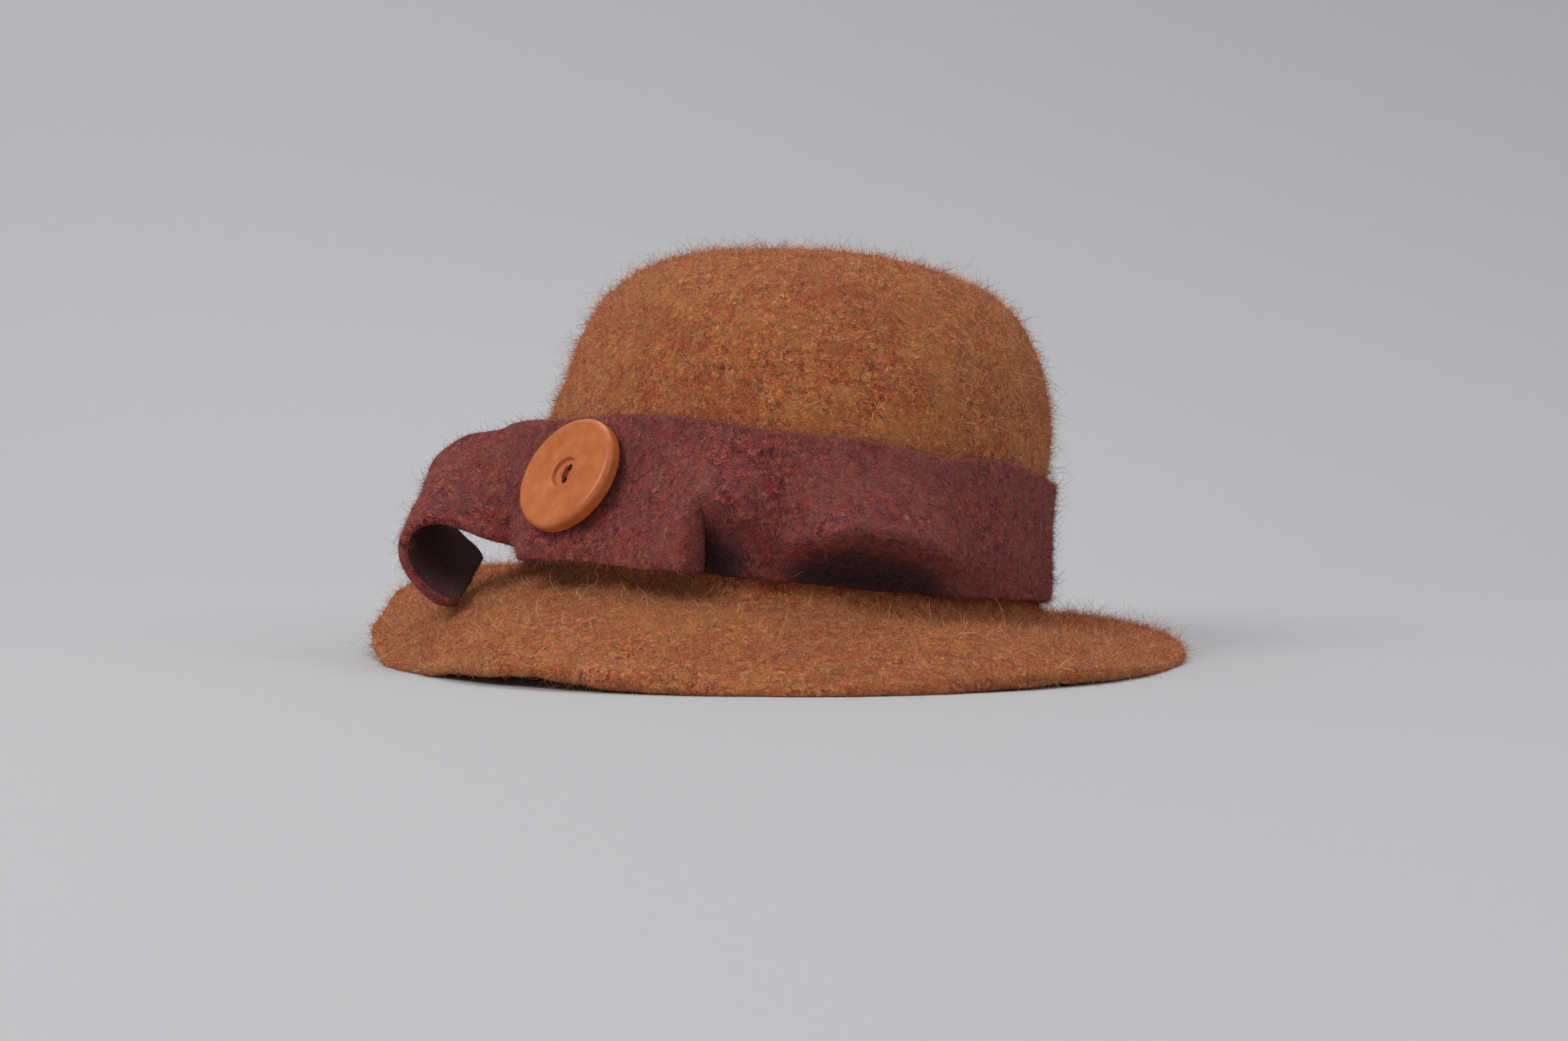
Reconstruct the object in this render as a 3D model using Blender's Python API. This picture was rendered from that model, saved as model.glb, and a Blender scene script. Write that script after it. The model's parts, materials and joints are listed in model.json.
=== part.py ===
"""Felted wool hat: a domed crown and wavy brim in one felt shell, a ruffled band, a button and an inner band.

Metres, +Z up. The front faces -Y, and azimuth runs from 0 at the front through 90 degrees at +X.
The hat rests on its brim on the plane Z = 0, where the felt is pressed flat.
"""
import math

import bmesh
import bpy
import numpy as np
from mathutils import Matrix, Vector

MM = 0.001

# Felt shell
opening_width = 156 * MM        # inside the felt, side to side
opening_depth = 187 * MM        # inside the felt, front to back
crown_height = 110 * MM         # opening plane to the top of the shell's middle
crown_fullness = 4.0            # 2 is an ellipsoid, more is squarer
crown_shift_x = 14 * MM         # how far the top leans towards +X
crown_shift_y = 10 * MM         # how far the top leans towards +Y
felt_thickness = 4.2 * MM
brim_width = 52 * MM
brim_root_radius = 9 * MM
rim_wave_height = 20 * MM       # the highest lift of the rim off the surface it rests on
opening_lift = 16 * MM          # height of the opening's centre over that surface
opening_slope_x = -0.100        # rise of the opening plane for each metre along +X
opening_slope_y = -0.02         # and along +Y
press_depth = 1.6 * MM          # how far the felt is pressed flat where it rests
dent_depth = 3.0 * MM           # the deepest soft dent of the crown

# Band, its ruffles and its free tail
band_thickness = 3.0 * MM
band_width = 40 * MM
band_base_height = 10 * MM      # lower edge of the band over the opening plane
ruffle_depth = 17 * MM          # the most that a ruffle stands off the crown
tail_reach = 56 * MM            # from the button's middle to the far side of the tail's curl
layer_gap = 0.45 * MM           # between layers of felt

# Inner band
inner_band_thickness = 1.3 * MM
inner_band_width = 27 * MM
inner_band_rise = 10 * MM       # lower edge over the opening plane

# Button
button_diameter = 36 * MM
button_thickness = 5.0 * MM
button_bevel = 1.3 * MM
button_eye_diameter = 9.5 * MM
button_eye_depth = 1.3 * MM
button_dish_depth = 0.35 * MM   # how far the face is hollowed towards the eye
button_hole_diameter = 2.0 * MM
button_hole_spacing = 4.2 * MM
thread_diameter = 1.2 * MM
button_gap = 0.3 * MM

# Curves
crown_lean_power = 1.3          # how late the crown leans over, 1 is evenly from the opening
brim_bow = 0.05                 # swell of the brim between its root and its rim, as a share of its width
lip_power = 1.25                # how late a ruffle leaves the crown, 1 is a straight slope to its lip
tuck_power = 1.8                # how sharply a ruffle turns back under its lip

# Fineness
columns = 72                    # round the crown and the brim
button_sides = 40
hole_sides = 10
thread_sides = 6
sharp_angle = 50                # edges that turn more than this stay sharp, in degrees

# Rim of the brim: azimuth in degrees, width as a share of brim_width,
# and lift of the rim off the resting surface as a share of rim_wave_height
RIM = (
    (0, 1.06, 0.00),
    (30, 0.97, 0.12),
    (60, 0.82, 0.00),
    (90, 0.71, 0.12),
    (120, 0.82, 0.10),
    (150, 0.96, 0.00),
    (180, 1.00, 0.30),
    (210, 0.98, 0.66),
    (240, 0.93, 1.00),
    (270, 0.93, 0.34),
    (300, 0.97, 0.00),
    (330, 1.02, 0.22),
)

# Soft dents and swells of the crown: azimuth in degrees, height as a share of crown_height,
# half width in degrees, half height as a share of crown_height, depth as a share of dent_depth
DENTS = (
    (292, 0.66, 34, 0.20, 1.0),
    (95, 0.30, 30, 0.16, 0.5),
    (20, 0.86, 40, 0.14, 0.4),
    (200, 0.60, 36, 0.22, 0.6),
)

# Band round the crown, from its hidden start round the back to the front: azimuth in degrees,
# lower and upper edge as shares of band_width over band_base_height, level of the ruffle's lip
# as a share of the way from the lower to the upper edge, and how far the lip and the lower edge
# stand off the crown as shares of ruffle_depth
BAND = (
    (300, 0.02, 0.93, 0.34, 0.00, 0.00),
    (255, 0.00, 0.95, 0.34, 0.03, 0.05),
    (225, 0.02, 0.99, 0.34, 0.08, 0.14),
    (200, 0.00, 0.96, 0.34, 0.03, 0.05),
    (170, 0.02, 1.00, 0.34, 0.07, 0.13),
    (140, 0.00, 0.96, 0.34, 0.02, 0.04),
    (110, 0.02, 0.94, 0.34, 0.06, 0.10),
    (80, 0.00, 0.89, 0.34, 0.02, 0.04),
    (60, 0.00, 0.90, 0.34, 0.04, 0.06),
    (45, 0.00, 0.97, 0.26, 0.10, 0.08),
    (35, 0.00, 0.95, 0.22, 0.28, 0.06),
    (30, 0.00, 0.93, 0.26, 0.48, 0.05),
    (25, 0.00, 0.94, 0.30, 0.72, 0.05),
    (20, 0.00, 0.96, 0.34, 0.90, 0.05),
    (15, 0.00, 0.98, 0.36, 1.00, 0.05),
    (10, 0.00, 0.98, 0.37, 1.00, 0.05),
    (5, 0.00, 0.98, 0.34, 0.84, 0.05),
    (0, 0.00, 0.98, 0.28, 0.50, 0.05),
    (-3, 0.00, 0.98, 0.25, 0.26, 0.06),
    (-6, 0.00, 0.98, 0.33, 0.34, 0.05),
    (-10, 0.00, 0.99, 0.43, 0.58, 0.04),
    (-14, 0.00, 1.00, 0.50, 0.72, 0.04),
    (-16, 0.00, 1.01, 0.52, 0.76, 0.08),
    (-18, 0.02, 1.02, 0.44, 0.66, 0.92),
    (-25, 0.00, 1.03, 0.34, 0.48, 0.78),
    (-35, 0.00, 1.02, 0.34, 0.38, 0.62),
    (-45, 0.00, 0.99, 0.34, 0.48, 0.80),
    (-50, 0.00, 0.97, 0.34, 0.58, 0.96),
)

# Free tail of the band, seen from the front: way of its near edge from the button's middle
# towards -X and downwards, as shares of tail_reach, and how far its width rises backwards, in degrees
TAIL = (
    (0.37, 0.31, 63),
    (0.54, 0.26, 50),
    (0.74, 0.19, 38),
    (0.87, 0.20, 32),
    (0.95, 0.27, 29),
    (0.96, 0.38, 27),
    (0.90, 0.50, 25),
    (0.80, 0.59, 22),
    (0.69, 0.65, 20),
)
tail_depth = 12 * MM            # near edge of the tail behind the button's middle
tail_turn = 6                   # sideways turn of the tail's width, in degrees
button_azimuth = -44            # in degrees
button_share = 0.53             # of band_width, from the lower edge


def spread(table, column, azimuths, around):
    """Smooth value of one column of a table at each azimuth."""
    rows = sorted(table, key=lambda row: row[0])
    at = np.array([row[0] for row in rows], float)
    value = np.array([row[column] for row in rows], float)
    if around:
        at = np.concatenate((at[-2:] - 360, at, at[:2] + 360))
        value = np.concatenate((value[-2:], value, value[:2]))
    rise = np.diff(value) / np.diff(at)
    before, after = rise[:-1], rise[1:]
    slope = np.zeros_like(value)
    steady = before * after > 0
    slope[1:-1][steady] = 2 * before[steady] * after[steady] / (before + after)[steady]
    k = np.clip(np.searchsorted(at, azimuths, "right") - 1, 0, len(at) - 2)
    step = at[k + 1] - at[k]
    t = (azimuths - at[k]) / step
    return (
        value[k] * (1 + 2 * t) * (1 - t) ** 2
        + slope[k] * step * t * (1 - t) ** 2
        + value[k + 1] * t ** 2 * (3 - 2 * t)
        + slope[k + 1] * step * t ** 2 * (t - 1)
    )


def opening_z(x, y):
    """Height of the tilted opening plane."""
    return opening_lift + opening_slope_x * x + opening_slope_y * y


def crown_points(height, azimuths):
    """Middle of the crown's felt at a height over the opening plane, and each azimuth in degrees."""
    share = np.clip(height / crown_height, 0, 1)
    radius = (1 - share ** crown_fullness) ** (1 / crown_fullness)
    angle = np.radians(azimuths)
    dent = np.zeros_like(angle)
    for at, level, half_width, half_height, depth in DENTS:
        turn = (azimuths - at + 180) % 360 - 180
        dent += depth * dent_depth * np.exp(-(turn / half_width) ** 2 - ((share - level) / half_height) ** 2)
    lean = share ** crown_lean_power
    half_width = opening_width / 2 + felt_thickness / 2
    half_depth = opening_depth / 2 + felt_thickness / 2
    x = (half_width * radius - dent) * np.sin(angle) + crown_shift_x * lean
    y = -(half_depth * radius - dent) * np.cos(angle) + crown_shift_y * lean
    return np.stack((x, y, opening_z(x, y) + height), -1)


def outward(azimuths):
    """Level unit vectors square to the opening's oval."""
    angle = np.radians(azimuths)
    x = np.sin(angle) / opening_width
    y = -np.cos(angle) / opening_depth
    length = np.hypot(x, y)
    return np.stack((x / length, y / length, np.zeros_like(x)), -1)


def shell_rows(azimuths):
    """Rows of points down the middle of the felt, from near the crown's top to the rim."""
    rows = []
    for level in (0.9985, 0.992, 0.975, 0.945, 0.90, 0.84, 0.76, 0.66, 0.54, 0.42, 0.25):
        rows.append(crown_points(crown_height * level, azimuths))
    root = crown_points(brim_root_radius, azimuths)
    rows.append(root)
    out = outward(azimuths)
    up = np.array((0.0, 0.0, 1.0))
    width = brim_width * spread(RIM, 1, azimuths, True)
    rim_z = rim_wave_height * spread(RIM, 2, azimuths, True)
    rim_z = np.maximum(rim_z, 0) + felt_thickness / 2 - press_depth
    reach = np.hypot(brim_root_radius, width)
    drop = np.clip((root[:, 2] - rim_z) / reach, -0.95, 0.95)
    droop = np.arcsin(drop) - np.arctan2(brim_root_radius, width)
    turn = math.pi / 2 - droop
    for share in (0.34, 0.67, 1.0):
        t = (turn * share)[:, None]
        rows.append(root + out * brim_root_radius * (1 - np.cos(t)) - up * brim_root_radius * np.sin(t))
    foot = rows[-1]
    for share in (0.20, 0.45, 0.70, 0.86, 0.95, 1.0):
        length = (width * share)[:, None]
        bow = (width * brim_bow * math.sin(math.pi * share))[:, None]
        slope = droop[:, None]
        step = out * np.cos(slope) - up * np.sin(slope)
        rows.append(foot + step * length + (up * np.cos(slope) + out * np.sin(slope)) * bow)
    return np.array(rows)


def grid_normals(rows, around):
    """Unit normals of a grid of points, outwards for rows that run down and columns that run round."""
    down = np.gradient(rows, axis=0)
    if around:
        along = np.roll(rows, -1, axis=1) - np.roll(rows, 1, axis=1)
    else:
        along = np.gradient(rows, axis=1)
    normal = np.cross(down, along)
    return normal / np.linalg.norm(normal, axis=-1, keepdims=True)


def mesh_object(name, build, material):
    """Object from a function that fills a bmesh."""
    mesh = bpy.data.meshes.new(name)
    shape = bmesh.new()
    build(shape)
    bmesh.ops.recalc_face_normals(shape, faces=shape.faces)
    shape.to_mesh(mesh)
    shape.free()
    mesh.shade_smooth()
    mesh.set_sharp_from_angle(angle=math.radians(sharp_angle))
    mesh.materials.append(material)
    item = bpy.data.objects.new(name, mesh)
    bpy.context.scene.collection.objects.link(item)
    return item


def strip_faces(shape, first, second, around):
    """Quads between two rows of vertices."""
    count = len(first)
    for i in range(count if around else count - 1):
        j = (i + 1) % count
        shape.faces.new((first[i], first[j], second[j], second[i]))


def sheet_builder(skins, around, pole=None):
    """Function that closes rows of an outer and an inner skin into one body.

    The rows run from the outer skin's first row, over its last edge, and back along the inner skin.
    With a pole, each skin ends in one point; without, the first edges are joined too.
    """
    def build(shape):
        loops = [[shape.verts.new(point) for point in row] for row in skins]
        for first, second in zip(loops, loops[1:]):
            strip_faces(shape, first, second, around)
        if pole:
            for point, loop in ((pole[0], loops[0]), (pole[1], loops[-1])):
                tip = shape.verts.new(point)
                for i in range(len(loop)):
                    shape.faces.new((tip, loop[i], loop[(i + 1) % len(loop)]))
        else:
            strip_faces(shape, loops[-1], loops[0], around)
        if not around:
            for end in (0, -1):
                shape.faces.new([loop[end] for loop in loops])
    return build


def edge_row(rows, last, before, thickness):
    """Row that rounds the edge of a sheet off, beyond its last row."""
    tangent = rows[last] - rows[before]
    tangent /= np.linalg.norm(tangent, axis=-1, keepdims=True)
    return rows[last] + tangent * thickness * 0.4


def plain_material(name, colour, roughness):
    """Principled material in one colour."""
    material = bpy.data.materials.new(name)
    material.use_nodes = True
    shader = material.node_tree.nodes["Principled BSDF"]
    shader.inputs["Base Color"].default_value = (*colour, 1)
    shader.inputs["Roughness"].default_value = roughness
    shader.inputs["Metallic"].default_value = 0
    return material


def make_body(material):
    """Crown and brim, one piece of felt."""
    azimuths = np.arange(columns) * 360.0 / columns
    rows = shell_rows(azimuths)
    normals = grid_normals(rows, True)
    outer = rows + normals * felt_thickness / 2
    inner = rows - normals * felt_thickness / 2
    edge = edge_row(rows, -1, -2, felt_thickness)
    for skin in (inner, edge):
        skin[..., 2] = np.maximum(skin[..., 2], 0)
    top = crown_points(np.float64(crown_height), np.zeros(1))[0]
    half = np.array((0, 0, felt_thickness / 2))
    skins = list(outer) + [edge] + list(inner[::-1])
    return mesh_object("hat_body", sheet_builder(skins, True, (top + half, top - half)), material)


def make_inner_band(material):
    """Ribbon round the inside of the opening."""
    azimuths = np.arange(columns) * 360.0 / columns
    top = inner_band_rise + inner_band_width
    heights = np.linspace(top, inner_band_rise, 3)
    rows = np.array([crown_points(height, azimuths) for height in heights])
    normals = grid_normals(rows, True)
    near = felt_thickness / 2 + layer_gap
    outer = rows - normals * near
    inner = rows - normals * (near + inner_band_thickness)
    skins = list(outer) + list(inner[::-1])
    return mesh_object("inner_band", sheet_builder(skins, True), material)


def smooth_path(points, count):
    """Points along a Catmull-Rom curve through the given rows of numbers."""
    points = np.array(points, float)
    padded = np.vstack((2 * points[0] - points[1], points, 2 * points[-1] - points[-2]))
    result = []
    for i in range(len(points) - 1):
        a, b, c, d = padded[i:i + 4]
        for k in range(count):
            t = k / count
            result.append(0.5 * (
                2 * b + (c - a) * t + (2 * a - 5 * b + 4 * c - d) * t ** 2
                + (3 * b - a - 3 * c + d) * t ** 3
            ))
    result.append(points[-1])
    return np.array(result)


def band_shares(azimuths):
    """Rows of the band, as shares of its width: above the ruffle's lip, on it and below it."""
    level = spread(BAND, 3, azimuths, False)
    above = [level + (1 - level) * part for part in (1.0, 0.70, 0.42, 0.18, 0.0)]
    below = [level * part for part in (0.74, 0.42, 0.0)]
    return np.array(above + below)


def band_on_crown(azimuths, shares):
    """Middle of the band at each row of shares of its width, standing off the crown at its ruffles."""
    lower = band_base_height + band_width * spread(BAND, 1, azimuths, False)
    upper = band_base_height + band_width * spread(BAND, 2, azimuths, False)
    level = spread(BAND, 3, azimuths, False)
    lip = ruffle_depth * spread(BAND, 4, azimuths, False)
    foot = ruffle_depth * spread(BAND, 5, azimuths, False)
    away = felt_thickness / 2 + layer_gap + band_thickness / 2
    rows = []
    for share in shares:
        height = lower + (upper - lower) * share
        points = crown_points(height, azimuths)
        higher = crown_points(height + crown_height * 0.005, azimuths)
        further = crown_points(height, azimuths + 0.5)
        normal = np.cross(further - points, higher - points)
        normal /= np.linalg.norm(normal, axis=-1, keepdims=True)
        over = np.clip((1 - share) / (1 - level), 0, 1)
        under = np.clip(share / level, 0, 1)
        lift = np.where(share >= level, lip * over ** lip_power, foot + (lip - foot) * under ** tuck_power)
        rows.append(points + normal * away + outward(azimuths) * lift[:, None])
    return np.array(rows)


def button_seat():
    """Middle of the band under the button's middle."""
    azimuths = np.array([float(button_azimuth)])
    return band_on_crown(azimuths, np.array([[button_share]]))[0, 0]


def band_grid():
    """Middle of the whole strip: rows from its upper to its lower edge, columns from start to tail."""
    step = 360 // columns
    first, last = BAND[0][0], BAND[-1][0]
    azimuths = np.arange(last, first + 1, step, dtype=float)
    pleat = [row[0] for row in BAND if row[0] % step]
    azimuths = np.unique(np.concatenate((azimuths, pleat)))[::-1]
    shares = band_shares(azimuths)
    on_crown = band_on_crown(azimuths, shares)
    seat = button_seat()
    sections = []
    for out, drop, rise in TAIL:
        near = seat + np.array((-out * tail_reach, tail_depth, -drop * tail_reach))
        rise = math.radians(rise)
        turn = math.radians(tail_turn)
        level = np.array((math.sin(turn), math.cos(turn), 0))
        far = near + band_width * (level * math.cos(rise) + np.array((0, 0, math.sin(rise))))
        sections.append(np.concatenate((far, near)))
    ends = np.concatenate((on_crown[0, -1], on_crown[-1, -1]))
    smooth = smooth_path([ends] + sections, 2)[1:]
    far, near = smooth[:, :3], smooth[:, 3:]
    tail = np.array([far * share + near * (1 - share) for share in shares[:, -1]])
    return np.concatenate((on_crown, tail), axis=1)


def make_band(material):
    """Felt strip round the crown, with two ruffles in front and a free tail curled under."""
    rows = band_grid()
    normals = grid_normals(rows, False)
    if (normals[0, 0] * outward(np.array([float(BAND[0][0])]))[0]).sum() < 0:
        normals = -normals
    outer = rows + normals * band_thickness / 2
    inner = rows - normals * band_thickness / 2
    low = edge_row(rows, -1, -2, band_thickness)
    high = edge_row(rows, 0, 1, band_thickness)
    skins = list(outer) + [low] + list(inner[::-1]) + [high]
    return mesh_object("band", sheet_builder(skins, False), material), outer


def turned(outline, sides):
    """Function that turns an outline of radius and height round Z into a closed body."""
    def build(shape):
        loops = []
        for radius, z in outline:
            ring = []
            for k in range(sides):
                angle = 2 * math.pi * k / sides
                ring.append(shape.verts.new((radius * math.cos(angle), radius * math.sin(angle), z)))
            loops.append(ring)
        for first, second in zip(loops, loops[1:]):
            strip_faces(shape, first, second, True)
        shape.faces.new(loops[0])
        shape.faces.new(loops[-1])
    return build


def cut(target, name, build, places):
    """Take a shape out of an object at several places in its own frame."""
    for number, place in enumerate(places):
        tool = mesh_object(f"{name}_{number}", build, target.data.materials[0])
        tool.parent = target
        tool.location = place
        tool.hide_render = True
        tool.display_type = "WIRE"
        modifier = target.modifiers.new(tool.name, "BOOLEAN")
        modifier.operation = "DIFFERENCE"
        modifier.solver = "EXACT"
        modifier.object = tool


def filled_in(grid, count):
    """Grid of points with count steps between its rows, so that its faces are sampled too."""
    steps = np.arange(count) / count
    return np.array([a * (1 - t) + b * t for a, b in zip(grid, grid[1:]) for t in steps])


def seat_frame(outer):
    """Frame of the button: its middle on the band, its axis square to the band, clear of the felt."""
    azimuths = np.array([float(button_azimuth) - 8, float(button_azimuth) + 8])
    grid = band_on_crown(azimuths, np.array([[button_share - 0.25], [button_share + 0.25]]))
    along = grid[:, 1].mean(0) - grid[:, 0].mean(0)
    upward = grid[1].mean(0) - grid[0].mean(0)
    axis = Vector(np.cross(along, upward)).normalized()
    upward = (Vector(upward) - axis * Vector(upward).dot(axis)).normalized()
    side = upward.cross(axis)
    seat = Vector(button_seat())
    highest = -1.0
    surface = filled_in(filled_in(outer, 6).transpose(1, 0, 2), 6)
    for point in surface.reshape(-1, 3):
        offset = Vector(point) - seat
        height = offset.dot(axis)
        if (offset - axis * height).length < button_diameter * 0.51 and height > highest:
            highest = height
    frame = Matrix((side, upward, axis)).transposed().to_4x4()
    frame.translation = seat + axis * (highest + button_gap)
    return frame


def make_button(frame, material):
    """Round button with a rounded rim, a slightly hollow face, a sunk eye and two holes."""
    radius = button_diameter / 2
    eye = button_eye_diameter / 2
    top = button_thickness
    outline = [(radius - button_bevel, 0), (radius - button_bevel * 0.3, button_bevel * 0.3)]
    outline += [(radius, button_bevel), (radius, top - button_bevel * 1.6)]
    outline += [(radius - button_bevel * 0.35, top - button_bevel * 0.55)]
    outline += [(radius - button_bevel * 1.1, top - button_bevel * 0.08), (radius - button_bevel * 2.0, top)]
    outline += [(radius * 0.62, top - button_dish_depth * 0.7), (eye * 1.25, top - button_dish_depth)]
    eye_floor = top - button_dish_depth - button_eye_depth
    outline += [(eye, top - button_dish_depth * 1.4), (eye * 0.72, eye_floor)]
    button = mesh_object("button", turned(outline, button_sides), material)
    half = button_hole_spacing / 2
    bore = button_hole_diameter / 2
    column = turned([(bore, -button_thickness), (bore, button_thickness * 2)], hole_sides)
    cut(button, "button_hole", column, ((0, half, 0), (0, -half, 0)))
    button.matrix_world = frame
    return button


def make_thread(frame, material):
    """Sewing thread: a bridge in the button's eye with a leg down through each hole."""
    radius = thread_diameter / 2
    half = button_hole_spacing / 2
    crest = button_thickness - button_eye_depth + radius
    path = [(-half, 0), (-half, crest * 0.8), (-half * 0.7, crest)]
    path += [(-y, z) for y, z in reversed(path)]

    def build(shape):
        loops = []
        for k, (y, z) in enumerate(path):
            before = path[max(k - 1, 0)]
            after = path[min(k + 1, len(path) - 1)]
            way = Vector((0, after[0] - before[0], after[1] - before[1])).normalized()
            square = Vector((1, 0, 0)).cross(way)
            ring = []
            for n in range(thread_sides):
                angle = 2 * math.pi * n / thread_sides
                spot = Vector((math.cos(angle) * radius, 0, 0)) + square * math.sin(angle) * radius
                ring.append(shape.verts.new(Vector((0, y, z)) + spot))
            loops.append(ring)
        for first, second in zip(loops, loops[1:]):
            strip_faces(shape, first, second, True)
        shape.faces.new(loops[0])
        shape.faces.new(loops[-1])

    thread = mesh_object("button_thread", build, material)
    thread.matrix_world = frame
    return thread


def stand_on_origin():
    """Move the hat so that the middle of its outline seen from above is over the origin."""
    items = [item for item in bpy.data.objects if item.parent is None]
    bpy.context.view_layer.update()
    corners = [item.matrix_world @ Vector(corner) for item in items for corner in item.bound_box]
    x = [corner.x for corner in corners]
    y = [corner.y for corner in corners]
    shift = Matrix.Translation((-(min(x) + max(x)) / 2, -(min(y) + max(y)) / 2, 0))
    for item in items:
        item.matrix_world = shift @ item.matrix_world


def remove_scene_objects():
    for item in list(bpy.data.objects):
        bpy.data.objects.remove(item, do_unlink=True)


def main():
    remove_scene_objects()
    make_body(plain_material("amber_felt", (0.36, 0.13, 0.035), 0.95))
    make_inner_band(plain_material("navy_ribbon", (0.012, 0.014, 0.03), 0.8))
    burgundy = plain_material("burgundy_felt", (0.15, 0.03, 0.035), 0.95)
    band, outer = make_band(burgundy)
    frame = seat_frame(outer)
    make_button(frame, plain_material("orange_plastic", (0.52, 0.19, 0.05), 0.4))
    make_thread(frame, plain_material("burgundy_thread", (0.12, 0.02, 0.02), 0.8))
    stand_on_origin()


main()
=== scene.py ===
"""Looks of a felted wool hat: heathered felt with its fuzz, a ruffled band, a button and an inner ribbon.

Metres, +Z up. The front faces -Y, and azimuth runs from 0 at the front through 90 degrees at +X.
"""
import json
import math

import bmesh
import bpy
import numpy as np
from mathutils import Matrix, Vector

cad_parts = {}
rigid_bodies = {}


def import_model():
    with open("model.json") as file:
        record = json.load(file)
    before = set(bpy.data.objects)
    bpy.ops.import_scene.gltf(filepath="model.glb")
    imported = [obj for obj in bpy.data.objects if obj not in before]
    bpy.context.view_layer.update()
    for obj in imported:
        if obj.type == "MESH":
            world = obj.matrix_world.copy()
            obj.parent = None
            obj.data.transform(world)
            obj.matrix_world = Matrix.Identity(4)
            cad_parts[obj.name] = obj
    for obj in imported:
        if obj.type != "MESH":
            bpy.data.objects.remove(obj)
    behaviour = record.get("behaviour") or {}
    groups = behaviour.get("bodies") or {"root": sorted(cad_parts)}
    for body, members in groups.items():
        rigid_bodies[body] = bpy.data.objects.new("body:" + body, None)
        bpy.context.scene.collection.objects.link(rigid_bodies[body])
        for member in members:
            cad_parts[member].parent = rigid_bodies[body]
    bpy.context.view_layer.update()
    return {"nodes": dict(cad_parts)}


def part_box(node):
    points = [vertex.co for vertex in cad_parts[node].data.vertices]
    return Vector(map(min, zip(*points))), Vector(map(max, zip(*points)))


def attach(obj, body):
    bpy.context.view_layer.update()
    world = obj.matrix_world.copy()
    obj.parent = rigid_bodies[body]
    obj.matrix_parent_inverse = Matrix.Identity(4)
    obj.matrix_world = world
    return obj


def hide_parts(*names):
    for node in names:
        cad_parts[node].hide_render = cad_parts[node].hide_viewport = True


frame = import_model()

MM = 0.001

# Sizes of the felt shell, the band, the inner ribbon and the button's rim, as the solids have them
opening_width = 156 * MM
opening_depth = 187 * MM
crown_height = 110 * MM
crown_fullness = 4.0
crown_shift_x = 14 * MM
crown_shift_y = 10 * MM
felt_thickness = 4.2 * MM
brim_width = 52 * MM
brim_root_radius = 9 * MM
rim_wave_height = 20 * MM
opening_lift = 16 * MM
opening_slope_x = -0.100
opening_slope_y = -0.02
press_depth = 1.6 * MM
dent_depth = 3.0 * MM
band_thickness = 3.0 * MM
band_width = 40 * MM
band_base_height = 10 * MM
ruffle_depth = 17 * MM
tail_reach = 56 * MM
tail_depth = 12 * MM
tail_turn = 6
layer_gap = 0.45 * MM
inner_band_thickness = 1.3 * MM
inner_band_width = 27 * MM
inner_band_rise = 10 * MM
button_azimuth = -44
button_share = 0.53
button_bevel = 1.3 * MM

# Curves, as the solids have them
crown_lean_power = 1.3          # how late the crown leans over, 1 is evenly from the opening
brim_bow = 0.05                 # swell of the brim between its root and its rim, as a share of its width
lip_power = 1.25                # how late a ruffle leaves the crown, 1 is a straight slope to its lip
tuck_power = 1.8                # how sharply a ruffle turns back under its lip

# The button's face and its two turns of thread, which the solids have simpler
button_dish_depth = 0.30 * MM
button_eye_radius = 4.9 * MM
button_eye_depth = 1.4 * MM
eye_taper = 0.12                # how much narrower the eye is at its floor, as a share
button_hole_radius = 1.0 * MM
button_hole_offset = 2.1 * MM
thread_radius = 0.30 * MM
thread_offset = 0.33 * MM       # of each of the two turns from the middle
thread_plies = 3

# Rim: azimuth, width as a share of brim_width, lift as a share of rim_wave_height
RIM = (
    (0, 1.06, 0.00),
    (30, 0.97, 0.12),
    (60, 0.82, 0.00),
    (90, 0.71, 0.12),
    (120, 0.82, 0.10),
    (150, 0.96, 0.00),
    (180, 1.00, 0.30),
    (210, 0.98, 0.66),
    (240, 0.93, 1.00),
    (270, 0.93, 0.34),
    (300, 0.97, 0.00),
    (330, 1.02, 0.22),
)

# Dents of the crown: azimuth, height share, half width in degrees, half height share, share of dent_depth
DENTS = (
    (292, 0.66, 34, 0.20, 1.0),
    (95, 0.30, 30, 0.16, 0.5),
    (20, 0.86, 40, 0.14, 0.4),
    (200, 0.60, 36, 0.22, 0.6),
)

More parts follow.
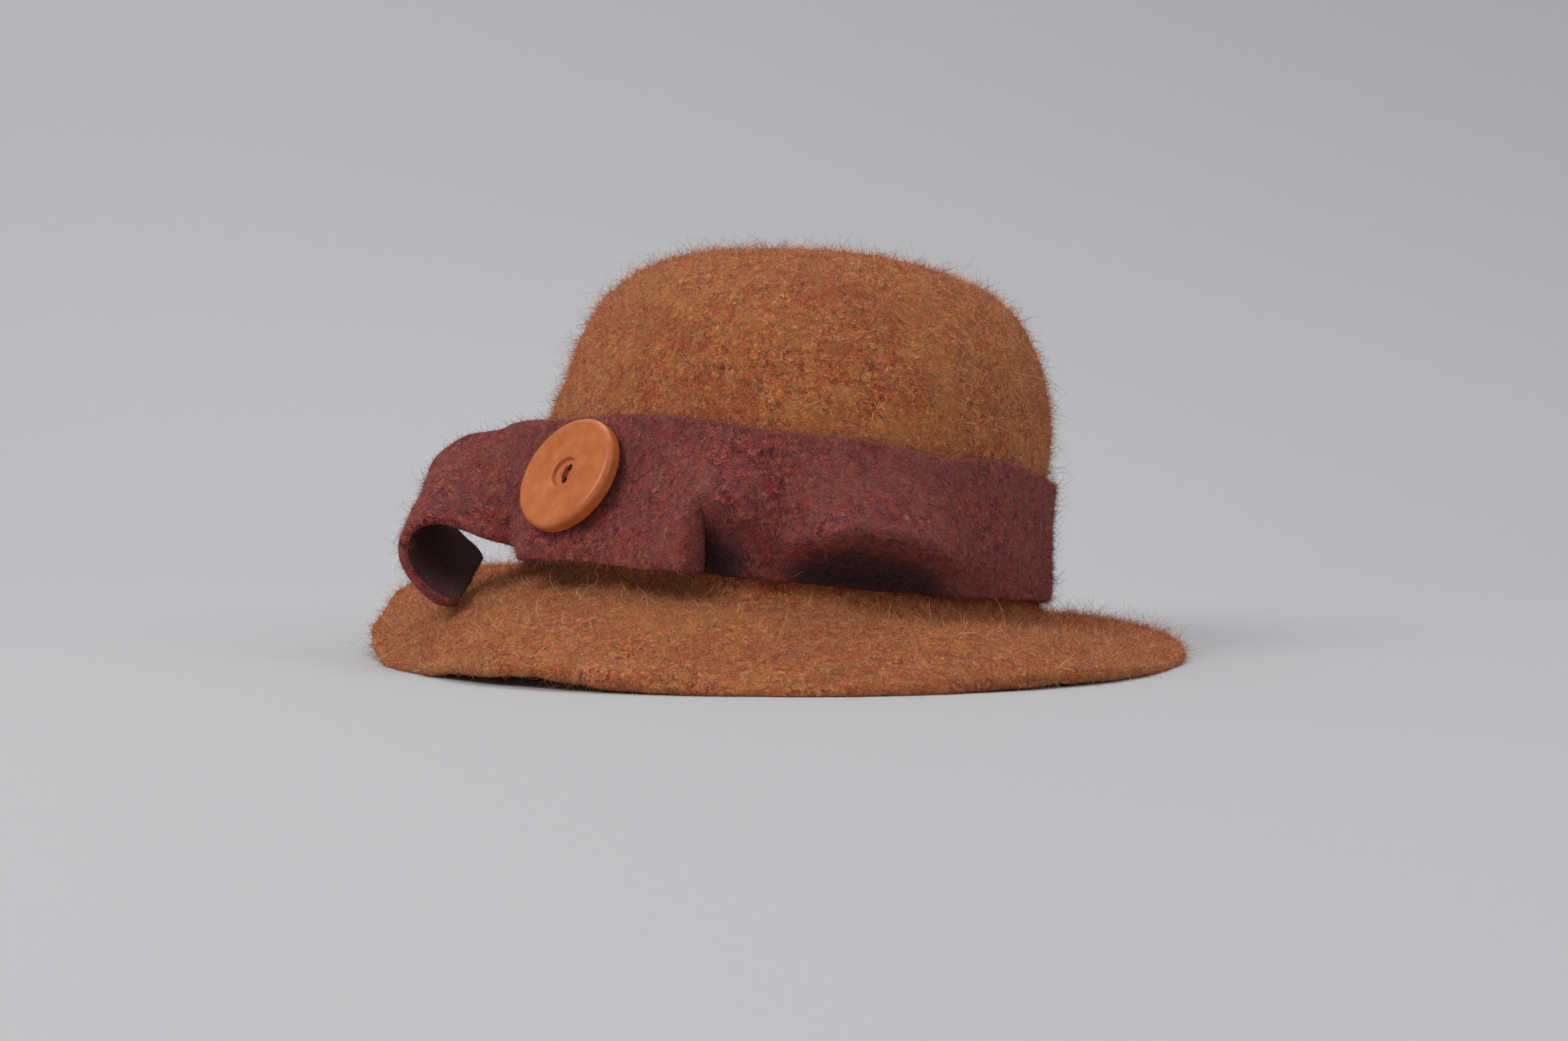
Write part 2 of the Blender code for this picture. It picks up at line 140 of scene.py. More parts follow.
# Band: azimuth, lower edge, upper edge, level of the lip, stand-off of the lip, stand-off of the lower edge
BAND = (
    (300, 0.02, 0.93, 0.34, 0.00, 0.00),
    (255, 0.00, 0.95, 0.34, 0.03, 0.05),
    (225, 0.02, 0.99, 0.34, 0.08, 0.14),
    (200, 0.00, 0.96, 0.34, 0.03, 0.05),
    (170, 0.02, 1.00, 0.34, 0.07, 0.13),
    (140, 0.00, 0.96, 0.34, 0.02, 0.04),
    (110, 0.02, 0.94, 0.34, 0.06, 0.10),
    (80, 0.00, 0.89, 0.34, 0.02, 0.04),
    (60, 0.00, 0.90, 0.34, 0.04, 0.06),
    (45, 0.00, 0.97, 0.26, 0.10, 0.08),
    (35, 0.00, 0.95, 0.22, 0.28, 0.06),
    (30, 0.00, 0.93, 0.26, 0.48, 0.05),
    (25, 0.00, 0.94, 0.30, 0.72, 0.05),
    (20, 0.00, 0.96, 0.34, 0.90, 0.05),
    (15, 0.00, 0.98, 0.36, 1.00, 0.05),
    (10, 0.00, 0.98, 0.37, 1.00, 0.05),
    (5, 0.00, 0.98, 0.34, 0.84, 0.05),
    (0, 0.00, 0.98, 0.28, 0.50, 0.05),
    (-3, 0.00, 0.98, 0.25, 0.26, 0.06),
    (-6, 0.00, 0.98, 0.33, 0.34, 0.05),
    (-10, 0.00, 0.99, 0.43, 0.58, 0.04),
    (-14, 0.00, 1.00, 0.50, 0.72, 0.04),
    (-16, 0.00, 1.01, 0.52, 0.76, 0.08),
    (-18, 0.02, 1.02, 0.44, 0.66, 0.92),
    (-25, 0.00, 1.03, 0.34, 0.48, 0.78),
    (-35, 0.00, 1.02, 0.34, 0.38, 0.62),
    (-45, 0.00, 0.99, 0.34, 0.48, 0.80),
    (-50, 0.00, 0.97, 0.34, 0.58, 0.96),
)

# Tail: way of the near edge from the button's middle towards -X and down, as shares, and the width's rise
TAIL = (
    (0.37, 0.31, 63),
    (0.54, 0.26, 50),
    (0.74, 0.19, 38),
    (0.87, 0.20, 32),
    (0.95, 0.27, 29),
    (0.96, 0.38, 27),
    (0.90, 0.50, 25),
    (0.80, 0.59, 22),
    (0.69, 0.65, 20),
)

# Fineness of the meshes
body_columns = 440
crown_rows = 68
fillet_rows = 8
brim_rows = 28
inner_crown_rows = 36
band_step = 0.8                 # degrees between the band's columns, and half of it at the pleat
pleat_start = -20               # azimuths of the sharp fold between the ruffles, in degrees
pleat_end = -13
rows_above_lip = 19
rows_below_lip = 12
tail_steps = 12                 # columns for each stretch of the tail
edge_rows = 4                   # rows that round an edge off
ribbon_rows = 18
button_sides = 128
hole_sides = 32
thread_sides = 16
thread_steps = 8                # rings for each stretch of the thread
sharp_angle = 50                # in degrees, edges over it stay sharp on the button

# Details that only the scene has
ribbon_ribs = 150               # ribs on each half of the inner ribbon
tail_corner = 6 * MM            # radius of the corners at the tail's end
painted_shade_depth = 12 * MM          # painted shade: under a lip by this much, the felt's colour is painted as dark as the band's back
edge_bulge = 0.85               # how round the felt's edges are, 1 is a half circle

# Unevenness of the felt: size of the features, their height and a seed
BODY_WAVES = ((42 * MM, 0.9 * MM, 1), (14 * MM, 0.65 * MM, 2), (6 * MM, 0.36 * MM, 3), (3 * MM, 0.2 * MM, 4))
BAND_WAVES = ((24 * MM, 0.45 * MM, 5), (9 * MM, 0.42 * MM, 6), (4 * MM, 0.26 * MM, 7), (2 * MM, 0.12 * MM, 8))
inner_roughness = 0.17          # how uneven the hat's inside is, as a share of its outside
covered_roughness = 0.08        # and where the band covers the crown
band_back_roughness = 0.15      # and on the band's back
covered_below = 4 * MM          # the covered stretch starts this far below the band
covered_share = 1.16            # and ends at this many times the band's width over its foot
covered_blend = 5 * MM          # from one unevenness to the other

# Loose fibres: name, count, seed, joints, length, rise and curl in radians, width at the root
FELT_FIBRES = (
    ("fuzz_outside", 62000, 11, 2, 2.2 * MM, 1.40, 2.0, 0.110 * MM),
    ("fuzz_under", 26000, 12, 2, 1.8 * MM, 1.25, 2.2, 0.100 * MM),
    ("long_fibres", 17500, 13, 6, 5.4 * MM, 1.45, 3.0, 0.085 * MM),
    ("long_under", 3500, 14, 6, 4.2 * MM, 1.10, 3.8, 0.075 * MM),
)
BAND_FIBRES = (
    ("band_fuzz", 40000, 15, 2, 1.6 * MM, 1.25, 2.2, 0.090 * MM),
    ("band_long_fibres", 6000, 16, 6, 4.4 * MM, 1.35, 3.2, 0.080 * MM),
)
bare_low = 14 * MM              # between these heights over the opening plane the band hides the crown
bare_high = 44 * MM
under_brim_height = 24 * MM     # felt that looks down lower than this is the brim's underside

# Dyes of the loose fibres
AMBER_DYES = (
    (0.76, 0.29, 0.11), (0.64, 0.18, 0.06), (0.44, 0.10, 0.042), (0.86, 0.54, 0.30), (0.34, 0.13, 0.07)
)
BURGUNDY_DYES = (
    (0.36, 0.062, 0.060), (0.19, 0.032, 0.040), (0.46, 0.14, 0.11), (0.09, 0.025, 0.038), (0.28, 0.19, 0.12)
)

# Lamps: name, place, what it is aimed at, width, power and colour
LAMPS = (
    ("key", (-1.10, -1.00, 1.20), (0, 0, 0.06), 1.0, 15, (1.0, 0.985, 0.96)),
    ("fill", (1.15, -0.85, 0.85), (0, 0, 0.06), 1.0, 3.4, (0.97, 0.98, 1.0)),
    ("top", (0.1, 0.7, 1.7), (0, 0, 0.05), 1.2, 6.0, (1.0, 1.0, 1.0)),
    ("wall", (-0.5, 1.0, 1.9), (-0.3, 2.6, 0.7), 1.6, 9, (0.98, 0.99, 1.0)),
)
world_colour = (0.96, 0.97, 1.0, 1)
world_strength = 0.55
stage_colour = (0.565, 0.565, 0.575, 1)
stage_sides = 96
stage_flat = 0.6                # the floor is flat to this radius
stage_reach = 2.0               # from there the curve goes out by this much
stage_rise = 1.4                # and up by this much
stage_top = 2.4

# Camera
camera_distance = 0.715
camera_azimuth = -0.8           # in degrees
camera_elevation = -0.8         # in degrees, just under the level of the hat's middle
camera_lens = 50.3              # in millimetres, for a picture 36 mm wide
camera_aim = (0.004, 0, -0.022)


def smooth_noise(points, size, seed):
    """Smooth noise from -1 to 1 whose features have about the given size."""
    cells = 32
    table = np.random.default_rng(seed).uniform(-1, 1, (cells, cells, cells))
    spin = np.array(Matrix.Rotation(0.7 + seed, 3, Vector((0.48, 0.60, 0.64))))
    place = points @ spin / size + 3.7 * seed
    cell = np.floor(place).astype(int)
    t = place - cell
    t = t * t * (3 - 2 * t)
    total = np.zeros(points.shape[:-1])
    for corner in np.ndindex(2, 2, 2):
        weight = np.prod(np.where(corner, t, 1 - t), axis=-1)
        at = (cell + corner) % cells
        total += weight * table[at[..., 0], at[..., 1], at[..., 2]]
    return total


def spread(table, column, azimuths, around):
    """Smooth value of one column of a table at each azimuth."""
    rows = sorted(table, key=lambda row: row[0])
    at = np.array([row[0] for row in rows], float)
    value = np.array([row[column] for row in rows], float)
    if around:
        at = np.concatenate((at[-2:] - 360, at, at[:2] + 360))
        value = np.concatenate((value[-2:], value, value[:2]))
    rise = np.diff(value) / np.diff(at)
    before, after = rise[:-1], rise[1:]
    slope = np.zeros_like(value)
    steady = before * after > 0
    slope[1:-1][steady] = 2 * before[steady] * after[steady] / (before + after)[steady]
    k = np.clip(np.searchsorted(at, azimuths, "right") - 1, 0, len(at) - 2)
    step = at[k + 1] - at[k]
    t = (azimuths - at[k]) / step
    return (
        value[k] * (1 + 2 * t) * (1 - t) ** 2
        + slope[k] * step * t * (1 - t) ** 2
        + value[k + 1] * t ** 2 * (3 - 2 * t)
        + slope[k + 1] * step * t ** 2 * (t - 1)
    )


def opening_z(x, y):
    """Height of the tilted opening plane."""
    return opening_lift + opening_slope_x * x + opening_slope_y * y


def crown_points(height, azimuths):
    """Middle of the crown's felt at a height over the opening plane."""
    share = np.clip(height / crown_height, 0, 1)
    radius = (1 - share ** crown_fullness) ** (1 / crown_fullness)
    angle = np.radians(azimuths)
    dent = np.zeros_like(angle)
    for at, level, half_width, half_height, depth in DENTS:
        turn = (azimuths - at + 180) % 360 - 180
        away = (turn / half_width) ** 2 + ((share - level) / half_height) ** 2
        dent = dent + depth * dent_depth * np.exp(-away)
    lean = share ** crown_lean_power
    x = ((opening_width + felt_thickness) / 2 * radius - dent) * np.sin(angle) + crown_shift_x * lean
    y = -((opening_depth + felt_thickness) / 2 * radius - dent) * np.cos(angle) + crown_shift_y * lean
    return np.stack((x, y, opening_z(x, y) + height), -1)


def outward(azimuths):
    """Level unit vectors square to the opening's oval."""
    angle = np.radians(azimuths)
    x = np.sin(angle) / opening_width
    y = -np.cos(angle) / opening_depth
    length = np.hypot(x, y)
    return np.stack((x / length, y / length, np.zeros_like(x)), -1)


def crown_levels(count):
    """Heights from near the crown's top down to the brim's root, an even way apart along the felt."""
    angle = np.linspace(0.02, math.pi / 2, 4000)
    share = np.cos(angle) ** (2 / crown_fullness)
    radius = np.sin(angle) ** (2 / crown_fullness)
    way = np.hypot(np.diff(share * crown_height), np.diff(radius * (opening_width + opening_depth) / 4))
    way = np.concatenate(([0], np.cumsum(way)))
    height = share * crown_height
    last = np.interp(-brim_root_radius, -height, way)
    first = last / count * 0.6
    return np.interp(np.linspace(first, last, count), way, height)


def shell_rows(azimuths, crown_count):
    """Rows of points down the middle of the felt, from near the crown's top to the rim."""
    rows = [crown_points(height, azimuths) for height in crown_levels(crown_count)]
    root = rows[-1]
    out = outward(azimuths)
    up = np.array((0.0, 0.0, 1.0))
    width = brim_width * spread(RIM, 1, azimuths, True)
    rim_z = rim_wave_height * spread(RIM, 2, azimuths, True)
    rim_z = np.maximum(rim_z, 0) + felt_thickness / 2 - press_depth
    reach = np.hypot(brim_root_radius, width)
    drop = np.clip((root[:, 2] - rim_z) / reach, -0.95, 0.95)
    droop = np.arcsin(drop) - np.arctan2(brim_root_radius, width)
    turn = math.pi / 2 - droop
    for share in np.linspace(0, 1, fillet_rows + 1)[1:]:
        t = (turn * share)[:, None]
        rows.append(root + out * brim_root_radius * (1 - np.cos(t)) - up * brim_root_radius * np.sin(t))
    foot = rows[-1]
    slope = droop[:, None]
    along = out * np.cos(slope) - up * np.sin(slope)
    over = up * np.cos(slope) + out * np.sin(slope)
    for share in np.linspace(0, 1, brim_rows + 1)[1:]:
        bow = (width * brim_bow * math.sin(math.pi * share))[:, None]
        rows.append(foot + along * (width * share)[:, None] + over * bow)
    return np.array(rows)


def grid_normals(rows, around):
    """Unit normals of a grid of points."""
    down = np.gradient(rows, axis=0)
    if around:
        along = np.roll(rows, -1, axis=1) - np.roll(rows, 1, axis=1)
    else:
        along = np.gradient(rows, axis=1)
    normal = np.cross(down, along)
    return normal / np.linalg.norm(normal, axis=-1, keepdims=True)


def rounded_edge(row, before, normal, thickness):
    """Rows that round the edge of a sheet off, from its outer to its inner skin."""
    tangent = row - before
    tangent /= np.linalg.norm(tangent, axis=-1, keepdims=True)
    result = []
    for angle in np.linspace(0, math.pi, edge_rows + 2)[1:-1]:
        way = normal * math.cos(angle) + tangent * math.sin(angle) * edge_bulge
        result.append(row + way * thickness / 2)
    return result


def new_object(name, data):
    """Object in the scene for a mesh, a lamp or a camera."""
    item = bpy.data.objects.new(name, data)
    bpy.context.scene.collection.objects.link(item)
    return item


def grid_mesh(name, skins, around, closed, poles=None, values=None):
    """Object from rows of points, with a value for each point under each name in values."""
    skins = np.asarray(skins)
    count, width = skins.shape[:2]
    points = skins.reshape(-1, 3)
    index = np.arange(count * width).reshape(count, width)
    below = np.roll(index, -1, axis=0)
    beside = np.roll(index, -1, axis=1)
    across = np.roll(below, -1, axis=1)
    keep = (slice(None, None if closed else -1), slice(None, None if around else -1))
    quads = np.stack((index, beside, across, below), -1)[keep].reshape(-1, 4)
    row, column = np.divmod(index, width)
    places = np.stack((column, row, column + 1, row, column + 1, row + 1, column, row + 1), -1)
    flat = places[keep].reshape(-1, 2) / (width, count)
    faces = quads.tolist()
    flat = [flat]
    if poles:
        points = np.vstack((points, poles))
        for tip, ring, level in ((count * width, index[0], 0.0), (count * width + 1, index[-1], 1.0)):
            for n, (a, b) in enumerate(zip(ring, np.roll(ring, -1))):
                faces.append((tip, a, b))
                flat.append(((n / width, level), (n / width, level), ((n + 1) / width, level)))
    if not around:
        for end in (0, -1):
            faces.append(index[:, end].tolist())
            flat.append(np.zeros((count, 2)))
    mesh = bpy.data.meshes.new(name)
    mesh.from_pydata(points.tolist(), [], faces)
    mesh.uv_layers.new(name="OFBake").uv.foreach_set("vector", np.concatenate(flat).ravel())
    for key, value in (values or {}).items():
        value = np.concatenate((np.ravel(value), np.zeros(len(points) - count * width)))
        mesh.attributes.new(key, "FLOAT", "POINT").data.foreach_set("value", value.astype(np.float32))
    shape = bmesh.new()
    shape.from_mesh(mesh)
    bmesh.ops.recalc_face_normals(shape, faces=shape.faces)
    if shape.calc_volume(signed=True) < 0:
        bmesh.ops.reverse_faces(shape, faces=shape.faces)
    shape.to_mesh(mesh)
    shape.free()
    mesh.shade_smooth()
    return new_object(name, mesh)


def vertex_values(mesh, what):
    """Positions or normals of a mesh's vertices."""
    values = np.zeros(len(mesh.vertices) * 3)
    mesh.vertices.foreach_get(what, values)
    return values.reshape(-1, 3)


def covered_by_band(skin):
    """How rough each point of the crown's outside is: less where the band lies on it."""
    height = skin[..., 2] - opening_z(skin[..., 0], skin[..., 1])
    low = band_base_height - covered_below
    high = band_base_height + covered_share * band_width
    inside = np.clip(np.minimum(height - low, high - height) / covered_blend, 0, 1)
    return 1 - (1 - covered_roughness) * inside


def roughen(item, waves, strength, floor_z=None):
    """Move the vertices along their normals by noise: (size, height, seed) for each wave."""
    points = vertex_values(item.data, "co")
    normals = vertex_values(item.data, "normal")
    lift = np.zeros(len(points))
    for size, height, seed in waves:
        lift += height * smooth_noise(points, size, seed)
    points = points + normals * (lift * strength)[:, None]
    if floor_z is not None:
        points[:, 2] = np.maximum(points[:, 2], floor_z)
    item.data.vertices.foreach_set("co", points.ravel())
    item.data.update()


def hat_shift():
    """Way from the shell's own place to where the frame has it."""
    low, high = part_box("hat_body")
    azimuths = np.arange(0, 360, 5.0)
    rows = shell_rows(azimuths, crown_rows)
    edge = rounded_edge(rows[-1], rows[-2], grid_normals(rows, True)[-1], felt_thickness)
    rim = np.concatenate(edge)
    middle = (rim.min(0) + rim.max(0)) / 2
    return np.array(((low.x + high.x) / 2 - middle[0], (low.y + high.y) / 2 - middle[1], 0))


# Shapes

def make_body(shift):
    azimuths = np.arange(body_columns) * 360.0 / body_columns
    rows = shell_rows(azimuths, crown_rows)
    normals = grid_normals(rows, True)
    outer = list(rows + normals * felt_thickness / 2)
    edge = rounded_edge(rows[-1], rows[-2], normals[-1], felt_thickness)
    rows = shell_rows(azimuths, inner_crown_rows)
    normals = grid_normals(rows, True)
    inner = list((rows - normals * felt_thickness / 2)[::-1])
    top = crown_points(np.float64(crown_height), np.zeros(1))[0]
    half = np.array((0, 0, felt_thickness / 2))
    skins = np.array(outer + edge + inner)
    item = grid_mesh("hat_felt", skins + shift, True, False, [top + half + shift, top - half + shift])
    strength = np.ones(skins.shape[:2])
    strength[:crown_rows] = covered_by_band(np.array(outer[:crown_rows]))
    strength[-inner_crown_rows:] = inner_roughness
    roughen(item, BODY_WAVES, np.concatenate((strength.ravel(), (1.0, inner_roughness))), 0.0)
    return item


def band_on_crown(azimuths, shares):
    """Middle of the band at each row of shares of its width, and the painted shade from how deep it lies
    under a ruffle's lip.
    """
    lower = band_base_height + band_width * spread(BAND, 1, azimuths, False)
    upper = band_base_height + band_width * spread(BAND, 2, azimuths, False)
    level = spread(BAND, 3, azimuths, False)
    lip = ruffle_depth * spread(BAND, 4, azimuths, False)
    foot = ruffle_depth * spread(BAND, 5, azimuths, False)
    away = felt_thickness / 2 + layer_gap + band_thickness / 2
    rows = []
    hollow_shade = []
    for share in shares:
        height = lower + (upper - lower) * share
        points = crown_points(height, azimuths)
        higher = crown_points(height + crown_height * 0.005, azimuths)
        further = crown_points(height, azimuths + 0.5)
        normal = np.cross(further - points, higher - points)
        normal /= np.linalg.norm(normal, axis=-1, keepdims=True)
        over = np.clip((1 - share) / (1 - level), 0, 1)
        under = np.clip(share / level, 0, 1)
        lift = np.where(share >= level, lip * over ** lip_power, foot + (lip - foot) * under ** tuck_power)
        rows.append(points + normal * away + outward(azimuths) * lift[:, None])
        # painted shade: the deeper under the lip, the darker the felt's colour is painted
        hollow_shade.append(np.where(share < level, np.clip((lip - lift) / painted_shade_depth, 0, 1), 0))
    return np.array(rows), np.array(hollow_shade)


def smooth_path(points, count):
    """Points along a Catmull-Rom curve through the given rows of numbers."""
    points = np.array(points, float)
    padded = np.vstack((2 * points[0] - points[1], points, 2 * points[-1] - points[-2]))
    result = []
    for i in range(len(points) - 1):
        a, b, c, d = padded[i:i + 4]
        for k in range(count):
            t = k / count
            result.append(0.5 * (
                2 * b + (c - a) * t + (2 * a - 5 * b + 4 * c - d) * t ** 2
                + (3 * b - a - 3 * c + d) * t ** 3
            ))
    result.append(points[-1])
    return np.array(result)


def band_grid():
    """Middle of the whole strip: rows from its upper to its lower edge, columns from start to tail."""
    first, last = BAND[0][0], BAND[-1][0]
    coarse = np.arange(last, first, band_step)
    pleat = np.arange(pleat_start, pleat_end, band_step / 2)
    azimuths = np.unique(np.concatenate((coarse, pleat, [first])))[::-1]
    level = spread(BAND, 3, azimuths, False)
    above = [level + (1 - level) * part for part in np.linspace(1, 0, rows_above_lip)]
    below = [level * part for part in np.linspace(1, 0, rows_below_lip + 1)[1:]]
    shares = np.array(above + below)
    on_crown, hollow_shade = band_on_crown(azimuths, shares)
    seat = band_on_crown(np.array([float(button_azimuth)]), np.array([[button_share]]))[0][0, 0]
    sections = []
    for out, drop, rise in TAIL:
        near = seat + np.array((-out * tail_reach, tail_depth, -drop * tail_reach))
        rise = math.radians(rise)
        turn = math.radians(tail_turn)
        side = np.array((math.sin(turn), math.cos(turn), 0))
        far = near + band_width * (side * math.cos(rise) + np.array((0, 0, math.sin(rise))))
        sections.append(np.concatenate((far, near)))
    ends = np.concatenate((on_crown[0, -1], on_crown[-1, -1]))
    path = smooth_path([ends] + sections, tail_steps)[1:]
    far, near = path[:, :3], path[:, 3:]
    way = np.linalg.norm(np.diff((far + near) / 2, axis=0), axis=-1)
    left = np.concatenate((np.cumsum(way[::-1])[::-1], [0]))
    bend = np.sqrt(1 - np.clip(1 - left / tail_corner, 0, 0.96) ** 2)
    narrow = 1 - 2 * tail_corner / band_width * (1 - bend)
    shares = 0.5 + (shares[:, -1][:, None] - 0.5) * narrow
    tail = far * shares[..., None] + near * (1 - shares[..., None])
    hollow_shade = np.concatenate((hollow_shade, np.zeros(tail.shape[:2])), axis=1)
    return np.concatenate((on_crown, tail), axis=1), hollow_shade


def make_band(shift):
    rows, hollow_shade = band_grid()
    normals = grid_normals(rows, False)
    if (normals[0, 0] * outward(np.array([float(BAND[0][0])]))[0]).sum() < 0:
        normals = -normals
    outer = list(rows + normals * band_thickness / 2)
    inner = list((rows - normals * band_thickness / 2)[::-1])
    low = rounded_edge(rows[-1], rows[-2], normals[-1], band_thickness)
    high = rounded_edge(rows[0], rows[1], normals[0], band_thickness)[::-1]
    skins = np.array(outer + low + inner + high)
    # 1 on the band's back, which is near black; on the outer skin and the lower edge, painted shade in the
    # hollows under the lips
    back_and_shade = np.zeros(skins.shape[:2])
    back_and_shade[:len(outer)] = hollow_shade
    back_and_shade[len(outer):][:len(low)] = np.maximum(hollow_shade[-1], 0.1)
    back_and_shade[len(outer) + len(low):][:len(inner)] = 1
    item = grid_mesh("band_felt", skins + shift, False, True, None, {"back_and_shade": back_and_shade})
    strength = np.ones(skins.shape[:2])
    strength[len(outer) + len(low):][:len(inner)] = band_back_roughness
    strength[-len(high):] = np.linspace(band_back_roughness, 1, len(high) + 2)[1:-1, None]
    roughen(item, BAND_WAVES, strength.ravel())
    return item


def make_inner_band(shift):
    azimuths = np.arange(body_columns) * 360.0 / body_columns
    heights = np.linspace(inner_band_rise + inner_band_width, inner_band_rise, ribbon_rows)
    rows = np.array([crown_points(height, azimuths) for height in heights])
    normals = grid_normals(rows, True)
    near = felt_thickness / 2 + layer_gap
    outer = list(rows - normals * near)
    inner = list((rows - normals * (near + inner_band_thickness))[::-1])
    middle = rows - normals * (near + inner_band_thickness / 2)
    low = rounded_edge(middle[-1], middle[-2], normals[-1], inner_band_thickness)
    high = rounded_edge(middle[0], middle[1], normals[0], inner_band_thickness)[::-1]
    skins = np.array(outer + low + inner + high)
    around = np.broadcast_to(ribbon_ribs * np.abs(azimuths - 180) / 180, skins.shape[:2])
    return grid_mesh("inner_ribbon", skins + shift, True, True, None, {"ribs": around})


def disc_frame():
    """Place, radius and thickness of the button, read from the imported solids.

    The place is the middle of its back, with Z out and Y along the holes.
    """
    points = vertex_values(frame["nodes"]["button"].data, "co")
    middle = points.mean(0)
    axis = np.linalg.eigh(np.cov((points - middle).T))[1][:, 0]
    if axis @ (middle * np.array((1, 1, 0))) < 0:
        axis = -axis
    thread = vertex_values(frame["nodes"]["button_thread"].data, "co")
    along = np.linalg.eigh(np.cov((thread - thread.mean(0)).T))[1][:, 2]
    along -= axis * (along @ axis)
    along /= np.linalg.norm(along)
    if along[2] < 0:
        along = -along
    side = np.cross(along, axis)
    flat = points - middle
    local = np.stack((flat @ side, flat @ along, flat @ axis), -1)
    centre = (local.min(0) + local.max(0)) / 2
    low = local[:, 2].min()
    origin = middle + side * centre[0] + along * centre[1] + axis * low
    size = local.max(0) - local.min(0)
    place = Matrix((side, along, axis)).transposed().to_4x4()
    place.translation = Vector(origin)
    return place, (size[0] + size[1]) / 4, size[2]


def turned_object(name, outline, sides):
    """Closed body of an outline of radius and height, turned round Z."""
    angles = np.linspace(0, 2 * math.pi, sides, endpoint=False)
    rows = [np.stack((r * np.cos(angles), r * np.sin(angles), np.full(sides, z)), -1) for r, z in outline]
    first = np.array((0, 0, outline[0][1]))
    last = np.array((0, 0, outline[-1][1]))
    return grid_mesh(name, np.array(rows), True, False, [first, last])


def button_outline(radius, thickness):
    """Half section of the button, from the back's middle round the rim to the eye's middle."""
    outline = [(radius * part, 0.0) for part in (0.25, 0.5, 0.75, 0.88)]
    for angle in np.linspace(-90, 0, 7):
        t = math.radians(angle)
        outline.append((radius - button_bevel + button_bevel * math.cos(t), button_bevel * (1 + math.sin(t))))
    shoulder = button_bevel * 1.5
    for angle in np.linspace(0, 90, 12):
        t = math.radians(angle)
        outline.append((radius - shoulder * (1 - math.cos(t)), thickness - shoulder * (1 - math.sin(t))))
    for part in np.linspace(0.86, 0.36, 10):
        outline.append((radius * part, thickness - button_dish_depth * (1 - ((part - 0.36) / 0.54) ** 2)))
    eye_edge = thickness - button_dish_depth
    for part in np.linspace(0, 1, 9):
        fall = part * part * (3 - 2 * part)
        outline.append((button_eye_radius * (1 - eye_taper * part), eye_edge - button_eye_depth * fall))
    for part in (0.6, 0.3, 0.1):
        outline.append((button_eye_radius * part, eye_edge - button_eye_depth * 1.05))
    return outline


def apply_modifiers(item):
    """Keep the evaluated mesh and drop the modifiers."""
    evaluated = item.evaluated_get(bpy.context.evaluated_depsgraph_get())
    mesh = bpy.data.meshes.new_from_object(evaluated)
    item.modifiers.clear()
    item.data = mesh


def make_button():
    place, radius, thickness = disc_frame()
    item = turned_object("button_disc", button_outline(radius, thickness), button_sides)
    bore = [(button_hole_radius, -thickness), (button_hole_radius, thickness * 2)]
    hole = turned_object("hole_tool", bore, hole_sides)
    for number, y in enumerate((button_hole_offset, -button_hole_offset)):
        tool = hole.copy()
        bpy.context.scene.collection.objects.link(tool)
        tool.location = (0, y, 0)
        modifier = item.modifiers.new(f"hole_{number}", "BOOLEAN")
        modifier.operation = "DIFFERENCE"
        modifier.solver = "EXACT"
        modifier.object = tool
    bpy.context.view_layer.update()
    apply_modifiers(item)
    for tool in [ob for ob in bpy.data.objects if ob.name.startswith("hole_tool")]:
        bpy.data.objects.remove(tool, do_unlink=True)
    item.data.transform(place)
    item.data.set_sharp_from_angle(angle=math.radians(sharp_angle))
    return item


def make_thread():
    """Two turns of thick thread between the button's holes."""
    place, radius, thickness = disc_frame()
    half = button_hole_offset
    crest = thickness - 1.1 * MM
    foot = 1.0 * MM
    bend = crest - 0.5 * MM
    shoulder = crest + 0.10 * MM
    top = crest + 0.28 * MM
    parts = []
    for side in (-thread_offset, thread_offset):
        path = [
            (side, -half, foot),
            (side, -half * 0.98, bend),
            (side * 0.9, -half * 0.70, shoulder),
            (side * 0.8, -half * 0.25, top),
            (side, half * 0.25, top),
            (side, half * 0.70, shoulder),
            (side, half * 0.98, bend),
            (side, half, foot),
        ]
        middle = smooth_path(path, thread_steps)
        tangent = np.gradient(middle, axis=0)
        tangent /= np.linalg.norm(tangent, axis=-1, keepdims=True)
        across = np.array((1.0, 0, 0))
        over = np.cross(tangent, across)
        over /= np.linalg.norm(over, axis=-1, keepdims=True)
        rows = []
        for k, (centre, up) in enumerate(zip(middle, over)):
            ring = []
            for n in range(thread_sides):
                angle = 2 * math.pi * n / thread_sides
                swell = thread_radius * (1 + 0.14 * math.cos(thread_plies * (angle - k * 0.32)))
                ring.append(centre + (across * math.cos(angle) + up * math.sin(angle)) * swell)
            rows.append(ring)
        rows = np.array(rows)
        parts.append(grid_mesh("thread_part", rows, True, False, [middle[0], middle[-1]]))
    merged = bmesh.new()
    for part in parts:
        merged.from_mesh(part.data)
        bpy.data.objects.remove(part, do_unlink=True)
    mesh = bpy.data.meshes.new("sewing_thread")
    merged.to_mesh(mesh)
    merged.free()
    mesh.transform(place)
    return new_object("sewing_thread", mesh)


# Fibres

